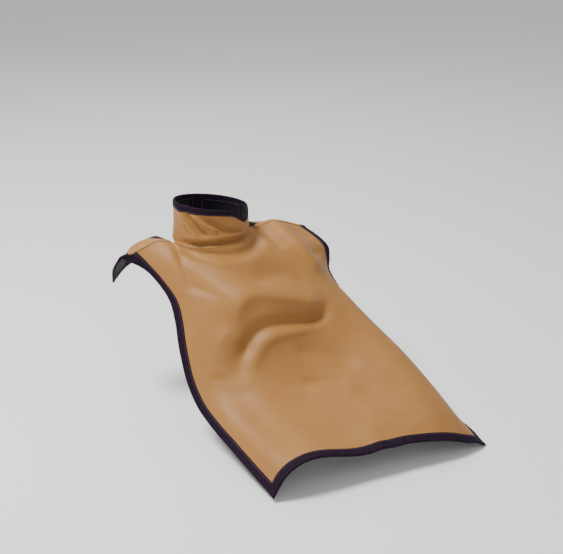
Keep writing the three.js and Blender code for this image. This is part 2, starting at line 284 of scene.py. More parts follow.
def read_net(node, inside, corner_count, order_corners, rim_edge=RIM):
    """The points of a CAD layer's outward side, as rows: an array of rows, columns and coordinates."""
    mesh = outward_side(node, inside, rim_edge)
    loop = boundary_loop(mesh)
    found = order_corners(sorted(sharpest(loop, corner_count)), loop)
    top_start, top_end, bottom_start, bottom_end = found
    row = path_between(loop, top_start, top_end, [bottom_start, bottom_end])
    first_column = path_between(loop, top_start, bottom_start, [top_end, bottom_end])
    rows, placed = [row], set(row)
    for first in first_column[1:]:
        above, row = rows[-1], [first]
        placed.add(first)
        for k in range(1, len(above)):
            beside = {e.other_vert(row[-1]) for e in row[-1].link_edges}
            below = {e.other_vert(above[k]) for e in above[k].link_edges}
            new = [v for v in beside & below if v not in placed]
            row.append(new[0])
            placed.add(new[0])
        rows.append(row)
    net = np.array([[v.co[:] for v in row] for row in rows])
    mesh.free()
    print(node, "net", net.shape)
    return net


# %% Nets of the bib, the flaps and the collar
def bib_corners(corners, loop):
    by_height = sorted(corners, key=lambda k: loop[k].co.z)
    hem = sorted(by_height[:2], key=lambda k: loop[k].co.x)
    top = sorted(by_height[2:], key=lambda k: loop[k].co.x)
    return top[0], top[-1], hem[0], hem[1]


def flap_corners(corners, loop):
    by_height = sorted(corners, key=lambda k: loop[k].co.z)
    hem = sorted(by_height[:2], key=lambda k: loop[k].co.x)
    seam = sorted(by_height[2:], key=lambda k: loop[k].co.x)
    return seam[1], seam[0], hem[1], hem[0]


def collar_corners(corners, loop):
    def angle(k):
        return math.atan2(loop[k].co.x, -loop[k].co.y)
    by_angle = sorted(corners, key=angle)
    start = sorted(by_angle[:2], key=lambda k: -loop[k].co.z)
    end = sorted(by_angle[2:], key=lambda k: -loop[k].co.z)
    return start[0], end[0], start[1], end[1]


CHEST = Vector((0.05, 0.0, -0.1))  # points inside the wearer, which tell a layer's outward side
NECK = Vector((0, 0, 0.04))
BIB_CORNERS = 6  # the four ends of the shoulder seams and the two of the hem
bib_net = read_net("outer_cover", CHEST, BIB_CORNERS, bib_corners)
flap_nets = {hand: read_net(f"{hand}_flap_cover", CHEST, 4, flap_corners) for hand in ("left", "right")}
collar_net = read_net("collar_cover", NECK, 4, collar_corners)
wing_net = read_net("collar_wing_cover", NECK, 4, collar_corners)


# %% [markdown]
# ## Weaving a fine sheet on a coarse net
# A sheet that bends softly needs a point every few millimetres. A smooth curve through the net's
# own points, first down and then across, gives them, and passes exactly through the CAD shape.

# %% Fine grid
CLOTH_STEP = 3.8 * MM


def through(points, knots, places):
    slopes = np.gradient(points, knots, axis=0)
    k = np.clip(np.searchsorted(knots, places, side="right") - 1, 0, len(knots) - 2)
    span = (knots[k + 1] - knots[k])[:, None, None]
    t = (places - knots[k])[:, None, None] / span
    start, end = points[k], points[k + 1]
    leave, arrive = slopes[k] * span, slopes[k + 1] * span
    return ((2 * t ** 3 - 3 * t ** 2 + 1) * start + (t ** 3 - 2 * t ** 2 + t) * leave
            + (3 * t ** 2 - 2 * t ** 3) * end + (t ** 3 - t ** 2) * arrive)


def lengths(net, axis):
    steps = np.linalg.norm(np.diff(net, axis=axis), axis=2).mean(axis=1 - axis)
    return np.concatenate([[0], np.cumsum(steps)])


def weave(net, step=CLOTH_STEP):
    for axis in (0, 1):
        knots = lengths(net, axis)
        places = np.linspace(0, knots[-1], max(2, round(knots[-1] / step)) + 1)
        net = through(net if axis == 0 else net.swapaxes(0, 1), knots, places)
        net = net if axis == 0 else net.swapaxes(0, 1)
    return net


def outward(grid):
    normal = np.cross(np.gradient(grid, axis=0), np.gradient(grid, axis=1))
    return normal / np.linalg.norm(normal, axis=2, keepdims=True)


bib = weave(bib_net)
print("bib grid", bib.shape)

# %% [markdown]
# ## Folds of the bib
# Lead vinyl is heavy and a little stiff, so it makes few, broad folds with soft ridges and one
# firm crease on the steep side. Each fold is a line on the sheet, given as shares across and down
# it, a height, and how far it spreads on its upper and lower side. A cloth simulation gives folds
# in places of its own choosing, so lines are used, and the sheet is relaxed afterwards.

# %% Fold helper
def along(points, count=60):
    points = np.array(points, float)
    knots = np.concatenate([[0], np.cumsum(np.linalg.norm(np.diff(points, axis=0), axis=1))])
    places = np.linspace(0, knots[-1], count)
    return through(points[:, None, :], knots, places)[:, 0, :] if len(points) > 2 else np.stack(
        [np.interp(places, knots, points[:, k]) for k in range(2)], axis=1)


CREST = 0.12  # how round a firm crease is, as a share of its spread
END_SHARE = 0.25  # how much of its height a fold keeps at its two ends


def fold_height(shape, size, line, height, above, below, sharp=False, fade=0.18):
    """How far a fold lifts every point of a sheet: size is the sheet's width and length."""
    rows, columns = shape
    across = np.linspace(0, 1, columns)[None, :] * size[0]
    down = np.linspace(0, 1, rows)[:, None] * size[1]
    points = along(line) * np.array(size)
    steps = np.gradient(points, axis=0)
    steps /= np.linalg.norm(steps, axis=1, keepdims=True)
    offsets = np.stack([across - points[:, 0, None, None] + 0 * down,
                        down - points[:, 1, None, None] + 0 * across], axis=-1)
    distance = np.linalg.norm(offsets, axis=-1)
    nearest = distance.argmin(axis=0)
    grid = np.ogrid[:rows, :columns]
    offset = offsets[nearest, grid[0], grid[1]]
    side = steps[nearest, 0] * offset[..., 1] - steps[nearest, 1] * offset[..., 0]
    spread = np.where(side > 0, below, above)
    place = nearest / (len(points) - 1)
    ends = np.clip(np.minimum(place, 1 - place) / fade, 0, 1)
    strength = height * (END_SHARE + (1 - END_SHARE) * ends * ends * (3 - 2 * ends))
    near = distance.min(axis=0) / spread
    soft = np.exp(-near ** 2)
    firm = np.exp(CREST - np.sqrt(near ** 2 + CREST ** 2))
    return strength * np.where((side > 0) & sharp, firm, soft)


# %% Folds of the bib
# name: (points as shares across and down the sheet, height, spread above, spread below, firm), in mm
BIB_FOLDS = {
    "under_bust_ridge": ([(0.22, 0.355), (0.285, 0.284), (0.38, 0.252), (0.47, 0.264), (0.57, 0.290),
                          (0.67, 0.333), (0.722, 0.366)], 17.0, 40, 20, True),
    "under_bust_valley": ([(0.735, 0.366), (0.69, 0.376), (0.606, 0.370), (0.481, 0.352), (0.385, 0.356),
                           (0.308, 0.386), (0.255, 0.435), (0.215, 0.50)], -16.0, 15, 14),
    "waist_ridge": ([(0.62, 0.412), (0.50, 0.397), (0.41, 0.400), (0.345, 0.424), (0.295, 0.468),
                     (0.255, 0.54)], 4.5, 11, 34),
    "armpit_slope": ([(0.22, 0.355), (0.18, 0.40), (0.145, 0.46), (0.13, 0.53)], 6.5, 24, 18),
    "bust_hollow": ([(0.43, 0.180), (0.53, 0.176), (0.635, 0.196), (0.715, 0.255)], -5.0, 20, 16),
    "arm_crease_inner": ([(0.225, 0.02), (0.205, 0.08), (0.160, 0.15), (0.105, 0.235)], -8.0, 24, 8, True),
    "arm_crease_outer": ([(0.262, 0.05), (0.24, 0.12), (0.19, 0.19), (0.14, 0.25)], -4.0, 22, 8, True),
    "collar_swag": ([(0.28, 0.022), (0.365, 0.030), (0.45, 0.040), (0.54, 0.036), (0.64, 0.018)],
                    -7.0, 8, 14),
    "collar_swag_lip": ([(0.31, 0.072), (0.40, 0.088), (0.50, 0.092), (0.58, 0.078), (0.65, 0.05)],
                        4.0, 12, 20),
    "shoulder_hollow": ([(0.705, 0.002), (0.680, 0.055), (0.685, 0.110)], -7.0, 18, 18),
    "shoulder_ridge": ([(0.86, 0.002), (0.790, 0.06), (0.785, 0.125), (0.84, 0.235)], 8.0, 18, 16),
    "shoulder_slope": ([(0.92, 0.03), (0.88, 0.10), (0.90, 0.18)], -5.0, 18, 18),
    "belly_left": ([(0.46, 0.465), (0.606, 0.525), (0.675, 0.62)], -4.0, 18, 24),
    "belly_crease": ([(0.43, 0.588), (0.53, 0.618), (0.60, 0.655)], -3.6, 7, 12),
    "belly_roll": ([(0.42, 0.63), (0.53, 0.665), (0.62, 0.70)], 3.2, 16, 26),
    "lap_crease": ([(0.60, 0.70), (0.68, 0.81), (0.715, 0.93)], -3.0, 24, 30),
    "lap_roll": ([(0.42, 0.76), (0.48, 0.86), (0.52, 0.96)], 3.0, 34, 40),
    "near_edge_roll": ([(0.085, 0.58), (0.08, 0.72), (0.085, 0.84), (0.10, 0.95)], 3.0, 20, 20),
    "near_edge_hollow": ([(0.19, 0.56), (0.185, 0.72), (0.20, 0.86), (0.22, 0.97)], -4.0, 24, 24),
    "far_edge_turn": ([(1.0, 0.24), (1.0, 0.40), (1.0, 0.60), (1.0, 0.80), (1.0, 0.96)], -13.0, 26, 26),
    "hem_drop": ([(0.50, 1.0), (0.64, 1.0), (0.78, 1.0), (0.97, 1.0)], -11.0, 44, 44),
}


def folded(grid, folds, scale=1.0):
    size = (lengths(grid, 1)[-1], lengths(grid, 0)[-1])
    lift = sum(fold_height(grid.shape[:2], size, line, height * MM * scale, above * MM, below * MM, *firm)
               for line, height, above, below, *firm in folds.values())
    return grid + outward(grid) * lift[..., None]


def relaxed(grid, times=2):
    """Each point moves half way to the middle of its neighbours; the edges stay."""
    grid = grid.copy()
    for _ in range(times):
        middle = (grid[2:, 1:-1] + grid[:-2, 1:-1] + grid[1:-1, 2:] + grid[1:-1, :-2]) / 4
        grid[1:-1, 1:-1] = (grid[1:-1, 1:-1] + middle) / 2
    return grid


flat_bib = bib
bib = relaxed(folded(bib, BIB_FOLDS))
print("deepest fold, mm", round(float(np.linalg.norm(bib - flat_bib, axis=2).max()) / MM, 1))

# %% [markdown]
# ## Materials
# Every cloth has a map of its own cut, in metres from the sheet's corner, so a weave follows the
# folds. Thread and grain are given in millimetres. Colours are sRGB hex values, made linear for the
# shader. Each finish starts from what the real cloth is, and is named for that.

# %% Colour and node helpers
def hex_colour(code):
    parts = [int(code[k:k + 2], 16) / 255 for k in (0, 2, 4)]
    return tuple(c / 12.92 if c <= 0.04045 else ((c + 0.055) / 1.055) ** 2.4 for c in parts) + (1,)


def add(tree, kind, settings=None, inputs=None, links=None, stops=(), feeds=()):
    """Adds a node: its attributes, its fixed values, the sockets that feed it, a ramp's colours by
    their places, and the sockets that it feeds, each with the name of the output that feeds it."""
    made = tree.nodes.new(kind)
    for name, value in (settings or {}).items():
        setattr(made, name, value)
    for name, value in (inputs or {}).items():
        made.inputs[name].default_value = value
    for name, socket in (links or {}).items():
        tree.links.new(socket, made.inputs[name])
    for k, (place, colour) in enumerate(stops):
        elements = made.color_ramp.elements
        element = elements[k] if k < len(elements) else elements.new(place)
        element.position = place
        element.color = hex_colour(colour)
    for name, socket in feeds:
        tree.links.new(made.outputs[name], socket)
    return made


CUT = "cut"  # the UV layer that holds each sheet's flat cut, in metres
WAVE = math.pi / 10  # a wave texture of this scale has bands 1 m wide


def new_material(name, roughness, **fixed):
    made = bpy.data.materials.new(name)
    made.use_nodes = True
    tree = made.node_tree
    shader = tree.nodes["Principled BSDF"]
    shader.inputs["Roughness"].default_value = roughness
    for socket, value in fixed.items():
        shader.inputs[socket.replace("_", " ")].default_value = value
    return made, tree, shader


def weave_height(tree, cut, thread):
    """Height of a plain weave: two sets of threads, crossing, each thread that many metres wide."""
    warp, weft = [add(tree, "ShaderNodeTexWave", {"bands_direction": axis},
                      {"Scale": WAVE / thread, "Distortion": 0.4, "Detail": 1.0, "Detail Scale": 2.0},
                      {"Vector": cut}).outputs["Fac"] for axis in ("X", "Y")]
    return add(tree, "ShaderNodeMath", {"operation": "MAXIMUM"}, links={0: warp, 1: weft}).outputs[0]


# %% [markdown]
# ## Urethane-coated nylon: the tan face
# The coating fills the weave, so the face is satin and even, with a faint grain, a broad soft gloss
# on every ridge, and slightly darker tan where years of wiping have dulled it. A plain tan with one
# roughness would look like moulded plastic, so colour and roughness both drift over a few
# centimetres, and the grain is laid over the weave.

# %% Coated nylon
COATED_THREAD = 1.1 * MM  # the real taffeta has 0.3 mm threads; drawn coarser, so that it shows
CLOUD, WORN_PATCH, COAT_GRAIN = 70 * MM, 25 * MM, 2.4 * MM

coated_nylon, tree, shader = new_material("urethane_coated_nylon", 0.55, Sheen_Weight=0.04,
                                          Sheen_Roughness=0.5, Specular_IOR_Level=0.36)
where = add(tree, "ShaderNodeTexCoord").outputs["Object"]
cut = add(tree, "ShaderNodeUVMap", {"uv_map": CUT}).outputs["UV"]
cloud = add(tree, "ShaderNodeTexNoise", inputs={"Scale": 1 / CLOUD, "Detail": 3.0, "Roughness": 0.55},
            links={"Vector": where}).outputs["Fac"]
add(tree, "ShaderNodeValToRGB", links={"Fac": cloud}, feeds=[("Color", shader.inputs["Base Color"])],
    stops=[(0.30, "986831"), (0.52, "9C6C34"), (0.75, "A07037")])
worn = add(tree, "ShaderNodeTexNoise", inputs={"Scale": 1 / WORN_PATCH, "Detail": 4.0},
           links={"Vector": where}).outputs["Fac"]
add(tree, "ShaderNodeMapRange", inputs={"To Min": 0.48, "To Max": 0.60}, links={"Value": worn},
    feeds=[("Result", shader.inputs["Roughness"])])
grain = add(tree, "ShaderNodeTexNoise", inputs={"Scale": 1 / COAT_GRAIN, "Detail": 2.0},
            links={"Vector": where}).outputs["Fac"]
height = add(tree, "ShaderNodeMath", {"operation": "MULTIPLY_ADD"}, {1: 0.6},
             {0: grain, 2: weave_height(tree, cut, COATED_THREAD)}).outputs[0]
add(tree, "ShaderNodeBump", inputs={"Distance": 0.05 * MM, "Strength": 0.5}, links={"Height": height},
    feeds=[("Normal", shader.inputs["Normal"])])
print(coated_nylon.name, "nodes", len(tree.nodes))

# %% [markdown]
# ## Polyester grosgrain: the plum tape
# Ribs run across the tape, and the cloth is deep plum with a cooler sheen where it turns to the
# light. The ribs also set the colour, so each rib's crest is a painted highlight, over a slow fade that
# varies the plum at random. The ribs follow the tape's own length, which is kept in its map, so they turn
# with every corner. Ribs on Object coordinates would run straight on through the corners.

# %% Grosgrain tape
RIB = 1.3 * MM  # the real ribs are 0.6 mm apart; drawn coarser, so that they show
TAPE_FADE = 9 * MM

plum_tape, tree, shader = new_material("polyester_grosgrain_tape", 0.72, Sheen_Weight=0.02,
                                       Specular_IOR_Level=0.12, Sheen_Roughness=0.35,
                                       Sheen_Tint=hex_colour("5C4A72"))
where = add(tree, "ShaderNodeTexCoord").outputs["Object"]
cut = add(tree, "ShaderNodeUVMap", {"uv_map": CUT}).outputs["UV"]
ribs = add(tree, "ShaderNodeTexWave", {"bands_direction": "X"},
           {"Scale": WAVE / RIB, "Distortion": 0.3, "Detail": 1.0}, {"Vector": cut}).outputs["Fac"]
fade = add(tree, "ShaderNodeTexNoise", inputs={"Scale": 1 / TAPE_FADE, "Detail": 3.0},
           links={"Vector": where}).outputs["Fac"]
# rib crests painted lighter (a painted highlight), mixed with the fade noise's random tone
rib_highlight_and_fade = add(tree, "ShaderNodeMath", {"operation": "MULTIPLY_ADD"}, {1: 0.5}, {0: ribs, 2: fade})
add(tree, "ShaderNodeValToRGB", links={"Fac": rib_highlight_and_fade.outputs[0]},
    feeds=[("Color", shader.inputs["Base Color"])],
    stops=[(0.35, "0F0511"), (0.75, "180A1A"), (1.0, "241026")])
add(tree, "ShaderNodeBump", inputs={"Distance": 0.12 * MM, "Strength": 0.8}, links={"Height": ribs},
    feeds=[("Normal", shader.inputs["Normal"])])
print(plum_tape.name, "nodes", len(tree.nodes))

# %% [markdown]
# ## Nylon taffeta: the black lining
# A plain weave with a dry, slightly dusty look and a faint violet cast. The same threads give the
# colour and the bump, so that every thread is lighter on its crown: a painted highlight on each thread.

# %% Taffeta lining
LINING_THREAD = 0.9 * MM  # the real threads are 0.25 mm; drawn coarser, so that they show

black_taffeta, tree, shader = new_material("nylon_taffeta_lining", 0.62, Sheen_Weight=0.03,
                                           Specular_IOR_Level=0.15, Sheen_Roughness=0.4,
                                           Sheen_Tint=hex_colour("585064"))
cut = add(tree, "ShaderNodeUVMap", {"uv_map": CUT}).outputs["UV"]
threads = weave_height(tree, cut, LINING_THREAD)
# the thread crowns are painted lighter than their sides: a painted highlight
add(tree, "ShaderNodeValToRGB", links={"Fac": threads}, feeds=[("Color", shader.inputs["Base Color"])],
    stops=[(0.2, "0B080D"), (0.9, "15111A")])
add(tree, "ShaderNodeBump", inputs={"Distance": 0.08 * MM, "Strength": 0.8}, links={"Height": threads},
    feeds=[("Normal", shader.inputs["Normal"])])
print(black_taffeta.name, "nodes", len(tree.nodes))


# %% [markdown]
# ## Mottled finishes: the vinyl plies and the thread
# Lead-loaded vinyl is a calendered sheet, matt and heavy, mottled grey where the filler is unevenly
# spread. Bonded polyester thread is hard and twisted, slightly glossy, and a shade lighter than the
# cloth that it holds. Both are one noise that gives the colour and the bump, at two very different
# sizes, so one function makes them.

# %% Vinyl and thread
def mottled_material(name, roughness, size, detail, dark, light, strength, **fixed):
    made, tree, shader = new_material(name, roughness, **fixed)
    where = add(tree, "ShaderNodeTexCoord").outputs["Object"]
    mottle = add(tree, "ShaderNodeTexNoise", inputs={"Scale": 1 / size, "Detail": detail},
                 links={"Vector": where}).outputs["Fac"]
    add(tree, "ShaderNodeValToRGB", links={"Fac": mottle}, stops=[(0.3, dark), (0.7, light)],
        feeds=[("Color", shader.inputs["Base Color"])])
    add(tree, "ShaderNodeBump", inputs={"Distance": 0.1 * MM, "Strength": strength},
        links={"Height": mottle}, feeds=[("Normal", shader.inputs["Normal"])])
    return made


grey_vinyl = mottled_material("lead_loaded_vinyl", 0.66, 6 * MM, 5.0, "4C5154", "62686C", 0.5)
plum_thread = mottled_material("bonded_polyester_thread_plum", 0.48, 0.8 * MM, 2.0,
                               "33203C", "4D3A58", 0.6, Sheen_Weight=0.2)
tan_thread = mottled_material("bonded_polyester_thread_tan", 0.48, 0.8 * MM, 2.0,
                              "8C643A", "A87E50", 0.6, Sheen_Weight=0.2)
print("vinyl and threads", grey_vinyl.name, plum_thread.name, tan_thread.name)


# %% [markdown]
# ## Hook and loop fastener
# The loop side is a matt brushed pile, and the hook side is a grid of moulded nylon hooks that
# glints. Modelled hooks would be thousands of tiny faces for a patch the size of a thumb, so cells
# of the hooks' own spacing give both sides their texture.

# %% Fastener
def fastener_material(name, roughness, pitch, dark, light):
    made, tree, shader = new_material(name, roughness)
    cut = add(tree, "ShaderNodeUVMap", {"uv_map": CUT}).outputs["UV"]
    cells = add(tree, "ShaderNodeTexVoronoi", {"feature": "F1"}, {"Scale": 1 / pitch},
                {"Vector": cut}).outputs["Distance"]
    add(tree, "ShaderNodeValToRGB", links={"Fac": cells}, stops=[(0.1, light), (0.6, dark)],
        feeds=[("Color", shader.inputs["Base Color"])])
    add(tree, "ShaderNodeBump", inputs={"Distance": 0.5 * MM, "Strength": 1.0},
        links={"Height": cells}, feeds=[("Normal", shader.inputs["Normal"])])
    return made


loop_pile = fastener_material("brushed_nylon_loop_pile", 0.85, 1.0 * MM, "100E12", "25212A")
nylon_hooks = fastener_material("moulded_nylon_hooks", 0.4, 1.4 * MM, "0B0A0D", "2A272E")
print("materials", len(bpy.data.materials))

# %% [markdown]
# ## Making a layer
# A layer of cloth is a thin closed slab: the woven grid at one depth under the face, the same grid a
# little deeper, and a rim that joins them. Solidify would do it for one sheet, but here four layers
# share one shape, and depths measured from one grid keep them from ever cutting through each other.

# %% A mesh with its flat cut as a map
def mesh_object(name, points, faces, cuts, materials, face_materials=None):
    mesh = bpy.data.meshes.new(name)
    mesh.from_pydata([tuple(p) for p in points], [], faces)
    layer = mesh.uv_layers.new(name=CUT)
    corners = np.array([cuts[v] for face in faces for v in face], dtype=np.float32)
    layer.data.foreach_set("uv", corners.ravel())
    for material in materials:
        mesh.materials.append(material)
    if face_materials is not None:
        mesh.polygons.foreach_set("material_index", face_materials)
    mesh.polygons.foreach_set("use_smooth", [True] * len(mesh.polygons))
    mesh.update()
    made = bpy.data.objects.new(name, mesh)
    bpy.context.scene.collection.objects.link(made)
    return made


def cut_map(grid):
    """Each point's place on the flat cut, in metres."""
    across, down = lengths(grid, 1), lengths(grid, 0)
    return np.stack(np.broadcast_arrays(across[None, :], down[:, None]), axis=-1)


# %% A layer
def grid_faces(rows, columns, first=0):
    return [(first + r * columns + c, first + (r + 1) * columns + c, first + (r + 1) * columns + c + 1,
             first + r * columns + c + 1) for r in range(rows - 1) for c in range(columns - 1)]


def slab(name, grid, top, bottom, material):
    rows, columns = grid.shape[:2]
    normal = outward(grid)
    count = rows * columns
    points = np.concatenate([(grid - normal * top).reshape(-1, 3), (grid - normal * bottom).reshape(-1, 3)])
    cuts = np.concatenate([cut_map(grid).reshape(-1, 2)] * 2)
    faces = grid_faces(rows, columns) + [tuple(reversed(f)) for f in grid_faces(rows, columns, count)]
    edge = ([r * columns for r in range(rows)] + [(rows - 1) * columns + c for c in range(1, columns)]
            + [r * columns + columns - 1 for r in range(rows - 2, -1, -1)] + list(range(columns - 2, 0, -1)))
    faces += [(a, a + count, b + count, b) for a, b in zip(edge, edge[1:] + edge[:1])]
    made = mesh_object(name, points, faces, cuts, [material])
    print(name, "faces", len(faces))
    return made


# %% Size of a sheet
def sheet_size(grid):
    """Its widest row and its longest column, measured along the cloth."""
    return float(np.linalg.norm(np.diff(grid, axis=1), axis=2).sum(axis=1).max()), float(
        np.linalg.norm(np.diff(grid, axis=0), axis=2).sum(axis=0).max())


def sheet_area(grid):
    here, across = grid[:-1, :-1], grid[:-1, 1:]
    below, opposite = grid[1:, :-1], grid[1:, 1:]
    first_half = np.linalg.norm(np.cross(below - here, across - here), axis=2).sum() / 2
    second_half = np.linalg.norm(np.cross(across - opposite, below - opposite), axis=2).sum() / 2
    return float(first_half + second_half)


# %% The bib's four layers
BIB_DEPTHS = {  # depth of each layer's outer and inner side under the face, in millimetres
    "outer_cover": (0, 0.6, "cover", coated_nylon),
    "lead_vinyl_ply_outer": (0.9, 1.7, "lead_vinyl", grey_vinyl),
    "lead_vinyl_ply_inner": (2.0, 2.8, "lead_vinyl", grey_vinyl),
    "backing_lining": (3.1, 3.5, "lining", black_taffeta),
}
COLLAR_DEPTHS = {
    "cover": (0, 0.6, "cover", coated_nylon),
    "lead_vinyl": (0.9, 1.9, "lead_vinyl", grey_vinyl),
    "lining": (2.2, 2.6, "lining", black_taffeta),
}
BIB_THICK = 3.5 * MM
COLLAR_THICK = 2.6 * MM
made_sheets = []  # (piece, node it stands for, slot, flat size, area, how it is held)


def note_sheet(piece, node, slot, grid, held):
    made_sheets.append((piece, node, slot, sheet_size(grid), sheet_area(grid), held))


for node, (top, bottom, slot, material) in BIB_DEPTHS.items():
    piece = slab(f"{node}_draped", bib, top * MM, bottom * MM, material)
    note_sheet(piece, node, slot, flat_bib, "draped")
    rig.ride(piece, "apron_front")
print("bib cut, mm", [round(side / MM) for side in sheet_size(flat_bib)])

# %% [markdown]
# ## Folded binding tape
# The tape is folded over the raw edge and sewn through, so it stands a little proud of the cloth,
# dips along the row of stitches, and is round at the fold. Its section is drawn once, from its
# inner edge on the face, round the fold, to its inner edge on the lining, and swept along the edge.

# %% Reading a point anywhere on a grid
def on_grid(values, row, column):
    rows, columns = values.shape[:2]
    row, column = min(max(row, 0), rows - 1), min(max(column, 0), columns - 1)
    r, c = min(int(row), rows - 2), min(int(column), columns - 2)
    fr, fc = row - r, column - c
    return ((1 - fr) * ((1 - fc) * values[r, c] + fc * values[r, c + 1])
            + fr * ((1 - fc) * values[r + 1, c] + fc * values[r + 1, c + 1]))


# %% Section of the tape
TAPE_HIGH, TAPE_UNDER = 0.98, 0.04  # mm over the cloth: the tape's outer and inner side at the fold
ON_FACE = [(1.0, 0.12), (0.985, 0.62), (0.93, 0.80), (0.86, 0.66), (0.80, 0.52), (0.74, 0.66), (0.62, 0.86),
           (0.40, 0.98), (0.18, 0.98)]  # share of the tape's width from the fold, height over the cloth
FOLD_TURNS = 8


def tape_section(place, thick, width, reach):
    """Points of one section. place(share, depth) puts one on the cloth, share 1 at the inner edge."""
    half = thick / 2
    outer = [place(share, -height * MM) for share, height in ON_FACE]
    inner = [place(share, -TAPE_UNDER * MM) for share, _ in ON_FACE]
    for k in range(FOLD_TURNS + 1):
        turn = math.pi / 2 - math.pi * k / FOLD_TURNS
        for points, radius in ((outer, half + TAPE_HIGH * MM), (inner, half + TAPE_UNDER * MM)):
            beyond = radius * math.cos(turn) * reach
            points.append(place(-beyond / width, half - radius * math.sin(turn)))
    outer += [place(share, thick + height * MM) for share, height in reversed(ON_FACE)]
    inner += [place(share, thick + TAPE_UNDER * MM) for share, _ in reversed(ON_FACE)]
    return outer + inner[::-1]


# %% One stitch
STITCH_LENGTH, STITCH_PITCH, STITCH_WIDE, STITCH_HIGH = 2.9, 3.6, 0.95, 0.5  # mm
STITCH_SHAPE = [(-0.5, 0.35), (-0.3, 0.85), (0.0, 1.0), (0.3, 0.85), (0.5, 0.35)]  # place, thickness
STITCH_SIDES = 6


def stitch(points, faces, cuts, centre, ahead, up_way):
    side = np.cross(up_way, ahead)
    first = len(points)
    for place, size in STITCH_SHAPE:
        middle = centre + ahead * place * STITCH_LENGTH * MM
        for k in range(STITCH_SIDES):
            turn = 2 * math.pi * k / STITCH_SIDES
            points.append(middle + side * math.cos(turn) * STITCH_WIDE / 2 * size * MM
                          + up_way * math.sin(turn) * STITCH_HIGH * size * MM)
            cuts.append((0.0, 0.0))
    n = STITCH_SIDES
    for ring in range(len(STITCH_SHAPE) - 1):
        for k in range(n):
            a, b = first + ring * n + k, first + ring * n + (k + 1) % n
            faces.append((a, a + n, b + n, b))
    faces.append(tuple(first + k for k in range(n)))
    last = first + (len(STITCH_SHAPE) - 1) * n
    faces.append(tuple(last + k for k in reversed(range(n))))


# %% A row of stitches
ROW_MARGIN = 2 * MM  # bare cloth at each end of a row


def stitch_row(points, faces, cuts, line, ups):
    line, ups = np.array(line), np.array(ups)
    knots = np.concatenate([[0], np.cumsum(np.linalg.norm(np.diff(line, axis=0), axis=1))])
    count = int((knots[-1] - 2 * ROW_MARGIN) / (STITCH_PITCH * MM))
    for k in range(count):
        at = ROW_MARGIN + (k + 0.5) * STITCH_PITCH * MM
        ends = [np.array([np.interp(at + d, knots, line[:, j]) for j in range(3)]) for d in (-MM, MM)]
        up_way = np.array([np.interp(at, knots, ups[:, j]) for j in range(3)])
        ahead = (ends[1] - ends[0]) / np.linalg.norm(ends[1] - ends[0])
        up_way = up_way - ahead * up_way.dot(ahead)
        stitch(points, faces, cuts, sum(ends) / 2, ahead, up_way / np.linalg.norm(up_way))


# %% A tape over an edge
STITCH_SHARE = 0.80  # where the row of stitches runs, as a share of the tape's width from the fold
STITCH_RISE = 0.62 * MM  # and how far its middle is over the cloth
AWAY = 0.15  # share of the tape's width over which the outward way is measured
SECTION_STEP = 1.2 * MM  # distance between the points of a section, on the tape's map


def between(edge, inside, share):
    return edge[0] + share * (inside[0] - edge[0]), edge[1] + share * (inside[1] - edge[1])


def binding(name, grid, thick, stations):
    """A tape over the cloth's edge. A station is a place at the edge, a place inside, and reach."""
    normal = outward(grid)
    points, faces, cuts = [], [], []
    lines = {1: ([], []), -1: ([], [])}
    run, before = 0.0, None
    for edge, inside, reach in stations:
        start, within = on_grid(grid, *edge), on_grid(grid, *inside)
        outer_way = start - on_grid(grid, *between(edge, inside, AWAY))
        outer_way /= np.linalg.norm(outer_way)
        width = np.linalg.norm(start - within)

        def place(share, depth):
            if share >= 0:
                spot = between(edge, inside, share)
                return on_grid(grid, *spot) - on_grid(normal, *spot) * depth
            return start - outer_way * share * width - on_grid(normal, *edge) * depth

        run += 0.0 if before is None else float(np.linalg.norm(start - before))
        before = start
        section = tape_section(place, thick, width, reach)
        points += section
        cuts += [(run, k * SECTION_STEP) for k in range(len(section))]
        for side, depth in ((1, -STITCH_RISE), (-1, thick + STITCH_RISE)):
            lines[side][0].append(place(STITCH_SHARE, depth))
            lines[side][1].append(side * on_grid(normal, *between(edge, inside, STITCH_SHARE)))
    n = len(points) // len(stations)
    for s in range(len(stations) - 1):
        for k in range(n):
            a, b = s * n + k, s * n + (k + 1) % n
            faces.append((a, b, b + n, a + n))
    half = n // 2
    for first, turned in ((0, False), ((len(stations) - 1) * n, True)):
        for k in range(half - 1):
            cap = (first + k, first + n - 1 - k, first + n - 2 - k, first + k + 1)
            faces.append(tuple(reversed(cap)) if turned else cap)
    cloth_faces = len(faces)
    for side in (1, -1):
        stitch_row(points, faces, cuts, *lines[side])
    kinds = [0] * cloth_faces + [1] * (len(faces) - cloth_faces)
    made = mesh_object(name, points, faces, cuts, [plum_tape, plum_thread], kinds)
    recalculate(made)
    print(name, "stations", len(stations), "faces", len(faces))
    return made


def recalculate(made):
    mesh = bmesh.new()
    mesh.from_mesh(made.data)
    bmesh.ops.recalc_face_normals(mesh, faces=mesh.faces)
    mesh.to_mesh(made.data)
    mesh.free()


# %% Stations round the edge of a grid
def inward_step(grid, start, end, widths):
    """Rows and columns that a tape's width takes up, into the grid, on a leg from start to end."""
    rows, columns = grid.shape[0] - 1, grid.shape[1] - 1
    by_row = widths / (sheet_size(grid)[1] / rows)
    by_column = widths / (sheet_size(grid)[0] / columns)
    if start[1] == end[1]:
        return (0, by_column if start[1] == 0 else -by_column), by_row
    return (by_row if start[0] == 0 else -by_row, 0), by_column


MITRE_REACH = 0.41  # how much further the fold reaches at a square corner, which makes it pointed
MITRE_POWER = 6  # how quickly the slant of a mitre dies away along the tape


